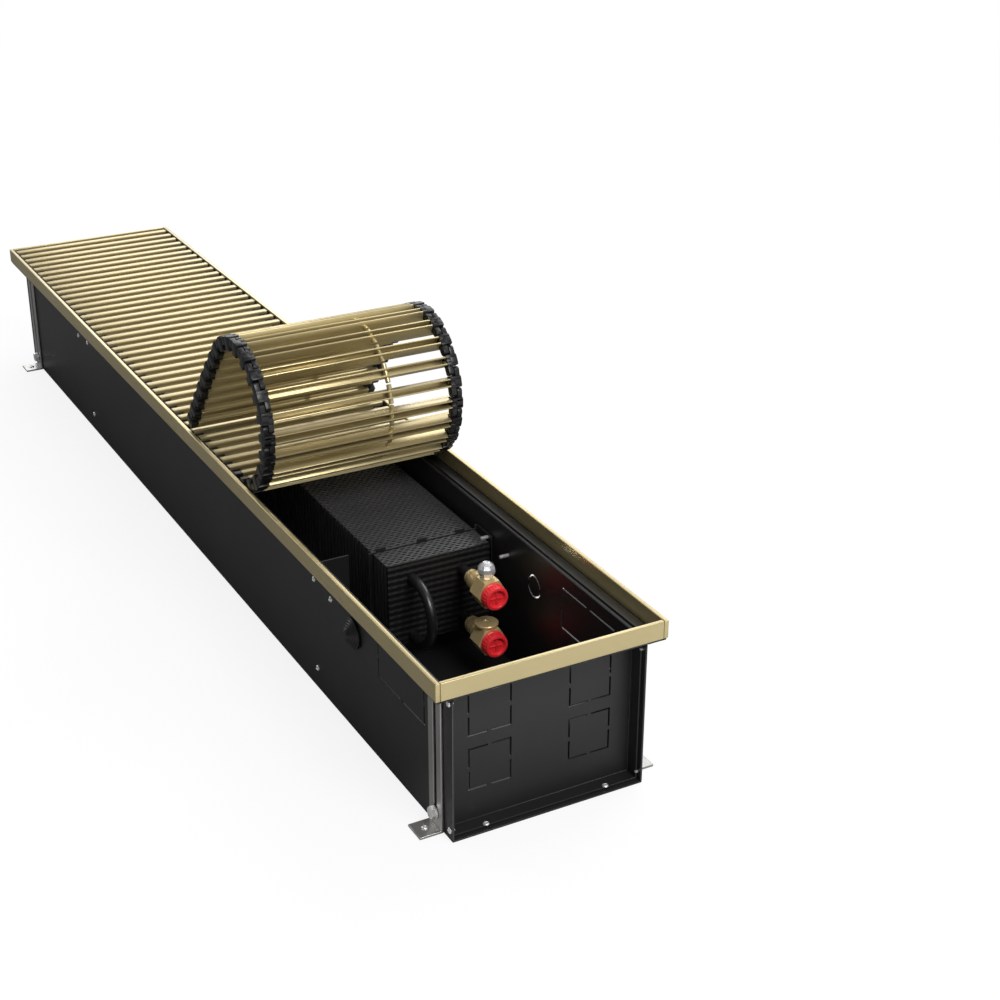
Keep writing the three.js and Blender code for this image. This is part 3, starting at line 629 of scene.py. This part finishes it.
plug = {"steps": 48, "clear": 0.1, "stem": 6.8, "height": 3, "edge": 0.5,
        "recess": ((0, 4.2), (1, 3.6), (1, 0))}
low, high = (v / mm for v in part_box("blind_plug"))
radius, edge = (high.x - low.x) / 2, plug["edge"]
seat = high.z - plug["height"]
profile = [(low.z + plug["clear"], 0), (low.z + plug["clear"], plug["stem"]), (seat, plug["stem"]),
           (seat, radius - edge), (seat + edge, radius), (high.z - edge, radius), (high.z, radius - edge)]
profile += [(high.z - down, inner) for down, inner in plug["recess"]]
bm = bmesh.new()
addTurned(bm, profile, plug["steps"], "z", (union["x"], (low.y + high.y) / 2, 0))
place(addObject("blind_plug.plug", finishMesh(bm, "plug"), materials["brass"]),
      "trough", "brass", "blind_plug")
print("connections ready")

# The grommet's stepped nose gets narrower away from the wall
grommet = {"turned": 48, "outer": 17.6, "inner": 5.5, "neck": 13.4, "wallFace": -110.4,
           "inside": ((0.1, 0), (0.1, 15), (2.6, 15.4), (3, 13.4)), "flange": ((0, 0.4), (0.6, 0), (2.4, 0)),
           "firstStep": -113, "steps": 5, "rise": 1.7, "step": ((0.4, 1.9), (0.7, 0.5), (1.5, 0)),
           "tip": 0.1}
low, high = (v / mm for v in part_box("cable_grommet"))
profile = [(high.x - into, radius) for into, radius in grommet["inside"]]
profile.append((grommet["wallFace"], grommet["neck"]))
profile += [(grommet["wallFace"] - out, grommet["outer"] - cut) for out, cut in grommet["flange"]]
for i in range(grommet["steps"]):
    reach = grommet["outer"] - (grommet["outer"] - grommet["inner"]) * (i + 1) / grommet["steps"]
    at = grommet["firstStep"] - i * grommet["rise"]
    profile += [(at - out, reach + more) for out, more in grommet["step"]]
profile.append((profile[-1][0] - grommet["tip"], 0))
bm = bmesh.new()
addTurned(bm, profile, grommet["turned"], "x", (0, (low.y + high.y) / 2, (low.z + high.z) / 2))
place(addObject("cable_grommet.plug", finishMesh(bm, "grommet"), materials["blackRubber"]),
      "trough", "grommet_rubber", "cable_grommet")

foot = {"bevel": 0.5, "corners": ("front_right", "front_left", "rear_right", "rear_left")}
bolt = {"steps": 32, "seat": 6.5, "flats": 12, "headHeight": 4.4, "chamfer": 0.8,
        "tip": ((0, 0), (0.4, 2.8)), "washerHeight": 1.5,
        "washer": ((0.05, 2.9), (0.05, 7.1), (0.3, 7.3), (1.3, 7.3), (1.5, 7), (1.5, 0))}
for corner in foot["corners"]:
    node = "foot_" + corner
    angle = copyNode(node, "angle", materials["stainless"], foot["bevel"])
    place(angle, node, "foot_steel", node)
    node = "clamp_bolt_" + corner
    side = 1 if corner.endswith("right") else -1
    low, high = (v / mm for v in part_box(node))
    centre = (0, (low.y + high.y) / 2, (low.z + high.z) / 2)
    tip, end = sorted((abs(low.x), abs(high.x)))
    seat = end - bolt["seat"]
    profile = [(side * (tip + along), radius) for along, radius in bolt["tip"]]
    profile += [(side * (seat + along), radius) for along, radius in bolt["washer"]]
    bm = bmesh.new()
    addTurned(bm, profile, bolt["steps"], "x", centre)
    head = bmesh.new()
    under = seat + bolt["washerHeight"]
    addNut(head, (0, 0, 0), under, under + bolt["headHeight"], bolt["flats"], bolt["chamfer"])
    addPart(bm, head, Matrix.Translation(Vector(centre) * mm)
            @ Matrix.Rotation(math.radians(-90 * side), 4, "Z"))
    bmesh.ops.recalc_face_normals(bm, faces=bm.faces)
    place(addObject(node + ".bolt", finishMesh(bm, "bolt"), materials["zinc"]),
          "trough", "bolt_steel", node)
print("feet ready")

# Places on the walls are (in from the trough's end, up)
screw = {"steps": 20, "shank": 1.6, "length": 5.5, "studLength": 14, "studShank": 2.2, "floorLength": 2.4,
         "taper": 0.8, "neck": -0.05, "headHeight": 1.9,
         "head": ((-0.05, 3.4), (0.3, 3.4), (0.9, 3.2), (1.5, 2.4), (1.9, 1.4), (1.9, 0)),
         "crossReach": 1.9, "crossHalf": 0.35, "crossDepth": 0.9, "crossSpare": 0.5,
         "wallX": 110.1, "endY": 750, "wallPlaces": ((335, 26.5), (12.5, 157), (12.5, 11)),
         "studPlaces": ((335, 139.5), (290, 136)), "baseX": (-69, 70), "baseInset": 14, "baseZ": 4.4,
         "footInset": 12, "footZ": 2.6}


def makeScrew(name, length, shank):
    bm = bmesh.new()
    tip = [(-length, 0), (-length + screw["taper"], shank), (screw["neck"], shank)]
    addTurned(bm, [*tip, *screw["head"]], screw["steps"], "z")
    body = addObject("screwBody", finishMesh(bm, name))
    bm = bmesh.new()
    reach, half = screw["crossReach"], screw["crossHalf"]
    bottom, top = screw["headHeight"] - screw["crossDepth"], screw["headHeight"] + screw["crossSpare"]
    for across, along in ((reach, half), (half, reach)):
        addBlock(bm, (-across, -along, bottom), (across, along, top))
    cutter = addObject("screwCross", finishMesh(bm, name))
    return addObject(name, combine(body, cutter, "DIFFERENCE", overlaps=True))


def screwsAt(name, body, slot, item, points, turn):
    obj = grow(name, scatterTree, {"Item": item, "Turn": turn, "Material": materials["zinc"]}, points)
    return place(obj, body, slot)


def wallPoints(side, places):
    return [(side * screw["wallX"], end * (screw["endY"] - inset), up)
            for end in (-1, 1) for inset, up in places]


shortScrew = makeScrew("shortScrew", screw["length"], screw["shank"])
longScrew = makeScrew("longScrew", screw["studLength"], screw["studShank"])
floorScrew = makeScrew("floorScrew", screw["floorLength"], screw["shank"])
for side, word in ((1, "right"), (-1, "left")):
    turn = (0, math.radians(90 * side), 0)
    points = wallPoints(side, screw["wallPlaces"])
    screwsAt("wall_screws_" + word, "trough", "bolt_steel", shortScrew, points, turn)
    points = wallPoints(side, screw["studPlaces"])
    screwsAt("wall_studs_" + word, "trough", "bolt_steel", longScrew, points, turn)
points = [(x, end * (screw["endY"] - screw["baseInset"]), screw["baseZ"])
          for end in (-1, 1) for x in screw["baseX"]]
screwsAt("base_screws", "trough", "bolt_steel", floorScrew, points, (0, 0, 0))
for corner in foot["corners"]:
    side = 1 if corner.endswith("right") else -1
    low, high = (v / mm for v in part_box("foot_" + corner))
    x = side * (max(abs(low.x), abs(high.x)) - screw["footInset"])
    screwsAt("floor_screw_" + corner, "foot_" + corner, "bolt_steel", floorScrew,
             [(x, (low.y + high.y) / 2, screw["footZ"])], (0, 0, 0))
for item in (shortScrew, longScrew, floorScrew):
    dropItem(item)
print("screws ready")

# A bar is a channel open below; heights are from the hinge pins
grille = {"pitch": 24.4, "pin": 179.0, "barHalf": 5, "top": 10.5, "capUnder": 5.7, "under": -6.7,
          "bevel": 0.8, "legWidth": 1.9, "legBevel": 0.6, "flatReach": 122.4, "flatLegs": 109.7,
          "rolledReach": 115, "rolledLegs": 110, "spacerX": 35, "spacerRadius": 2.9,
          "spacerReach": 11.1, "spacerEdge": 0.4, "sides": 16}
endLink = {"span": (110.1, 123.6), "half": 6.5, "bevel": 0.5, "drop": 0.35, "slope": 3, "shoulder": 4.4,
           "groove": (2.2, 1.6), "grooveDepth": 0.9, "plate": 123.9, "plateGap": 0.05, "plateDrop": 0.1,
           "frontEar": (117.45, 123.4), "rearEar": (110.3, 116.55), "earRoot": 5.5, "earHalf": 5,
           "earTip": ((2.6, -5), (4.9, -2.8), (4.9, 2.8), (2.6, 5)),
           "pin": ((110.35, 0), (110.35, 1.7), (110.7, 2.05), (118, 2.05), (118, 0))}


def addBar(bm, legs, reach):
    half, joint = grille["barHalf"], grille["capUnder"]
    addBlock(bm, (-reach, -half, joint), (reach, half, grille["top"]), grille["bevel"])
    for side in (-1, 1):
        near, far = sorted((side * half, side * (half - grille["legWidth"])))
        addBlock(bm, (-legs, near, grille["under"]), (legs, far, joint + grille["bevel"]),
                 grille["legBevel"])


def addEnds(bm, side, reach, front=True, rear=True):
    def ranged(a, b):
        return sorted((side * a, side * b))

    half, shoulder, bevel = endLink["half"], endLink["shoulder"], endLink["bevel"]
    under, top = grille["under"], grille["capUnder"] - endLink["drop"]
    slope, deep = top - endLink["slope"], under + endLink["grooveDepth"]
    wide, narrow = endLink["groove"]
    outline = [(-half, under), (-half, slope), (-shoulder, top), (shoulder, top), (half, slope),
               (half, under), (wide, under), (narrow, deep), (-narrow, deep), (-wide, under)]
    addPrism(bm, outline, *ranged(*endLink["span"]), "x", bevel)
    near, far = ranged(reach + endLink["plateGap"], endLink["plate"])
    addBlock(bm, (near, -grille["barHalf"], under),
             (far, grille["barHalf"], grille["top"] - endLink["plateDrop"]), bevel)
    pivot, root, ear = grille["pitch"] / 2, endLink["earRoot"], endLink["earHalf"]
    tip = [(pivot + out, up) for out, up in endLink["earTip"]]
    for wanted, way, span in ((front, -1, endLink["frontEar"]), (rear, 1, endLink["rearEar"])):
        if wanted:
            outline = [(way * out, up) for out, up in ((root, -ear), *tip, (root, ear))]
            addPrism(bm, outline, *ranged(*span), "x", bevel)
    if front:
        pin = [(side * across, radius) for across, radius in endLink["pin"]]
        addTurned(bm, pin, grille["sides"], "x", (0, -pivot, 0))


def addSpacer(bm, start, end):
    radius, edge = grille["spacerRadius"], grille["spacerEdge"]
    profile = [(start, 0), (start, radius - edge), (start + edge, radius), (end - edge, radius),
               (end, radius - edge), (end, 0)]
    addTurned(bm, profile, grille["sides"], "y", (grille["spacerX"], 0, 0))


low, high = (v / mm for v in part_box("grille_flat_bars"))
lastBar = high.y - grille["barHalf"]
flatCount = round((high.y - low.y) / grille["pitch"])
firstBar = lastBar - (flatCount - 1) * grille["pitch"]
bm = bmesh.new()
addBar(bm, grille["flatLegs"], grille["flatReach"])
item = makeItem("barItem", bm)
row = {"Item": item, "Count": flatCount, "Start": (0, firstBar * mm, grille["pin"] * mm),
       "Step": (0, grille["pitch"] * mm, 0), "Material": materials["goldBar"]}
place(grow("grille_flat_bars.bars", rowTree, row), "grille", "anodised_bars", "grille_flat_bars")
dropItem(item)
bm = bmesh.new()
addSpacer(bm, firstBar - grille["spacerReach"], lastBar)
bmesh.ops.translate(bm, verts=bm.verts, vec=(0, 0, grille["pin"] * mm))
place(addObject("grille_flat_bars.spacers", finishMesh(bm, "spacers"), materials["goldBar"]),
      "grille", "anodised_bars", "grille_flat_bars")
for side, word in ((1, "right"), (-1, "left")):
    node = "grille_flat_chain_" + word
    bm = bmesh.new()
    addEnds(bm, side, grille["flatReach"], rear=False)
    item = makeItem("endItem", bm)
    row.update({"Item": item, "Material": materials["blackPlastic"]})
    place(grow(node + ".links", rowTree, row), "grille", "chain_plastic", node)
    dropItem(item)
print("flat grille ready:", flatCount)

# Each rolled link turns from the one before it by what its hinge can straighten
links = sorted(n for n in frame["nodes"] if n.startswith("grille_link_"))
hinges = {j["child"]: j for j in frame["joints"] if j["name"].startswith("roll_")}
bm = bmesh.new()
addBar(bm, grille["rolledLegs"], grille["rolledReach"])
addSpacer(bm, -grille["spacerReach"], grille["spacerReach"])
barMesh = finishMesh(bm, "linkBar")
endMeshes = {}
for front, name in ((True, "linkEnds"), (False, "lastEnds")):
    bm = bmesh.new()
    for side in (1, -1):
        addEnds(bm, side, grille["rolledReach"], front=front)
    endMeshes[front] = finishMesh(bm, name)
heading = 0.0
for node in links:
    body = "link_" + node[-2:]
    least, most = hinges[body]["range_deg"]
    heading += math.radians(most or least)
    along = Vector((0, -math.cos(heading), math.sin(heading)))
    middle = Vector(hinges[body]["pos_m"]) + along * grille["pitch"] / 2 * mm
    matrix = Matrix.Translation(middle) @ Matrix.Rotation(-heading, 4, "X")
    parts = (("bar", barMesh, "goldBar", "anodised_bars"),
             ("ends", endMeshes[node != links[-1]], "blackPlastic", "chain_plastic"))
    for part, source, look, slotName in parts:
        mesh = source.copy()
        mesh.transform(matrix)
        place(addObject(node + "." + part, mesh, materials[look]), body, slotName, node)
print("rolled grille ready:", len(links))

# Places and sizes of the stage are in metres
stage = {"size": 30, "drop": 0.0004, "roughness": 0.9, "albedo": 0.9, "bounce": 0.6, "glow": 0.84,
         "whiteSpan": (1.0, 3.5), "frontInMetal": 0.82, "sideShadeInMetal": 0.2, "frontSpan": (-0.95, -0.6),
         "farShadeInMetal": 0.6, "farSpan": (-0.3, 1.6)}
sky = {"leftLight": 0.5, "rightLight": 0.7, "horizon": 0.9, "overhead": 0.5, "upSpan": (0.25, 0.75),
       "leftInMetal": 0.12, "leftSpan": (-0.75, 0.1)}


def addNode(tree, kind, inputs, operation=None):
    node = tree.nodes.new(kind)
    if operation:
        node.operation = operation
    for label, value in inputs.items():
        if isinstance(value, bpy.types.NodeSocket):
            tree.links.new(value, node.inputs[label])
        else:
            node.inputs[label].default_value = value
    return node


def multiply(tree, first, second):
    return addNode(tree, "ShaderNodeMath", {0: first, 1: second}, "MULTIPLY").outputs["Value"]


def seenDirectly(tree, rays):
    inputs = {0: rays.outputs["Is Camera Ray"], 1: rays.outputs["Is Transmission Ray"]}
    return addNode(tree, "ShaderNodeMath", inputs, "MAXIMUM").outputs["Value"]


def rampNode(tree, value, span, low, high):
    return addNode(tree, "ShaderNodeMapRange", {"Value": value, "From Min": span[0], "From Max": span[1],
                                                "To Min": low, "To Max": high}).outputs["Result"]


def mixValue(tree, factor, low, high):
    return addNode(tree, "ShaderNodeMix", {"Factor": factor, "A": low, "B": high}).outputs["Result"]


# The floor is white paper. For glossy rays its colour is painted bright in front of the trough and painted
# darker beside and behind it, as painted shade seen in metal
bm = bmesh.new()
bmesh.ops.create_grid(bm, x_segments=1, y_segments=1, size=stage["size"] / 2)
bmesh.ops.translate(bm, verts=bm.verts, vec=(0, 0, -stage["drop"]))
floorMaterial, tree, shader = newMaterial("floorPaper")
rays = tree.nodes.new("ShaderNodeLightPath")
coords = tree.nodes.new("ShaderNodeTexCoord")
spot = addNode(tree, "ShaderNodeSeparateXYZ", {"Vector": coords.outputs["Object"]})
# Painted shade: the floor that metal sees is darker beside the trough and further behind it
near = rampNode(tree, spot.outputs["Y"], stage["frontSpan"], stage["frontInMetal"], stage["sideShadeInMetal"])
far = rampNode(tree, spot.outputs["Y"], stage["farSpan"], 1, stage["farShadeInMetal"])
inMetal = multiply(tree, near, far)
level = mixValue(tree, rays.outputs["Is Glossy Ray"], stage["bounce"], inMetal)
level = mixValue(tree, seenDirectly(tree, rays), level, stage["albedo"])
shade = addNode(tree, "ShaderNodeCombineColor", {"Red": level, "Green": level, "Blue": level})
shader.inputs["Roughness"].default_value = stage["roughness"]
shader.inputs["Specular IOR Level"].default_value = 0
tree.links.new(shade.outputs["Color"], shader.inputs["Base Color"])
glow = tree.nodes.new("ShaderNodeEmission")
away = addNode(tree, "ShaderNodeVectorMath", {0: coords.outputs["Object"]}, "LENGTH").outputs["Value"]
white = rampNode(tree, away, stage["whiteSpan"], stage["glow"], 1)
blend = tree.nodes.new("ShaderNodeMixShader")
tree.links.new(multiply(tree, seenDirectly(tree, rays), white), blend.inputs["Fac"])
tree.links.new(shader.outputs["BSDF"], blend.inputs[1])
tree.links.new(glow.outputs["Emission"], blend.inputs[2])
tree.links.new(blend.outputs["Shader"], tree.nodes["Material Output"].inputs["Surface"])
floor = addObject("floor", finishMesh(bm, "floor"), floorMaterial)
floor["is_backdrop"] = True

# The world is white to the eye, brightest near the horizon in metal, and lights more from the right
world = bpy.data.worlds.new("studio")
world.use_nodes = True
bpy.context.scene.world = world
tree = world.node_tree
background = tree.nodes["Background"]
background.inputs["Color"].default_value = (1, 1, 1, 1)
rays = tree.nodes.new("ShaderNodeLightPath")
coords = tree.nodes.new("ShaderNodeTexCoord")
aim = addNode(tree, "ShaderNodeSeparateXYZ", {"Vector": coords.outputs["Generated"]})
light = rampNode(tree, aim.outputs["X"], (-1, 1), sky["leftLight"], sky["rightLight"])
aloft = rampNode(tree, aim.outputs["Z"], sky["upSpan"], sky["horizon"], sky["overhead"])
beside = rampNode(tree, aim.outputs["X"], sky["leftSpan"], sky["leftInMetal"], 1)
level = mixValue(tree, rays.outputs["Is Glossy Ray"], light, multiply(tree, aloft, beside))
level = mixValue(tree, seenDirectly(tree, rays), level, 1.0)
tree.links.new(level, background.inputs["Strength"])

lamps = {
    "keyLamp": {"at": (2.1, 0.4, 2.6), "aim": (0, 0, 0.1), "size": 1.6, "power": 30},
    "backLamp": {"at": (1.7, 3.4, 2.0), "aim": (0, 0, 0.2), "size": 3.0, "power": 52},
    "frontLamp": {"at": (0.2, -2.6, 2.5), "aim": (0, -0.5, 0.1), "size": 1.2, "power": 54},
    "leftLamp": {"at": (-1.6, 2.6, 1.9), "aim": (0, -0.2, 0.1), "size": 1.2, "power": 16},
}
for name, lamp in lamps.items():
    data = bpy.data.lights.new(name, "AREA")
    data.shape = "SQUARE"
    data.size = lamp["size"]
    data.energy = lamp["power"]
    obj = bpy.data.objects.new(name, data)
    obj.location = lamp["at"]
    obj.rotation_euler = (Vector(lamp["aim"]) - Vector(lamp["at"])).to_track_quat("-Z", "Y").to_euler()
    bpy.context.scene.collection.objects.link(obj)

# Fitted to the photograph by the trough's and the rim's corners
view = {"at": (-0.7739, -2.0460, 1.0753), "azimuth": -28.28, "elevation": 25.36, "lens": 65.2,
        "sensor": 36, "shiftX": 0.0141, "shiftY": -0.0084}
azimuth, elevation = math.radians(view["azimuth"]), math.radians(view["elevation"])
back = Vector((math.sin(azimuth) * math.cos(elevation), -math.cos(azimuth) * math.cos(elevation),
               math.sin(elevation)))
cameraData = bpy.data.cameras.new("camera")
cameraData.lens = view["lens"]
cameraData.sensor_width = view["sensor"]
cameraData.shift_x = view["shiftX"]
cameraData.shift_y = view["shiftY"]
camera = bpy.data.objects.new("camera", cameraData)
camera.location = view["at"]
camera.rotation_euler = (-back).to_track_quat("-Z", "Y").to_euler()
bpy.context.scene.collection.objects.link(camera)
bpy.context.scene.camera = camera
bpy.context.scene.view_settings.view_transform = "Standard"
print("light and camera ready")

low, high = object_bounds()
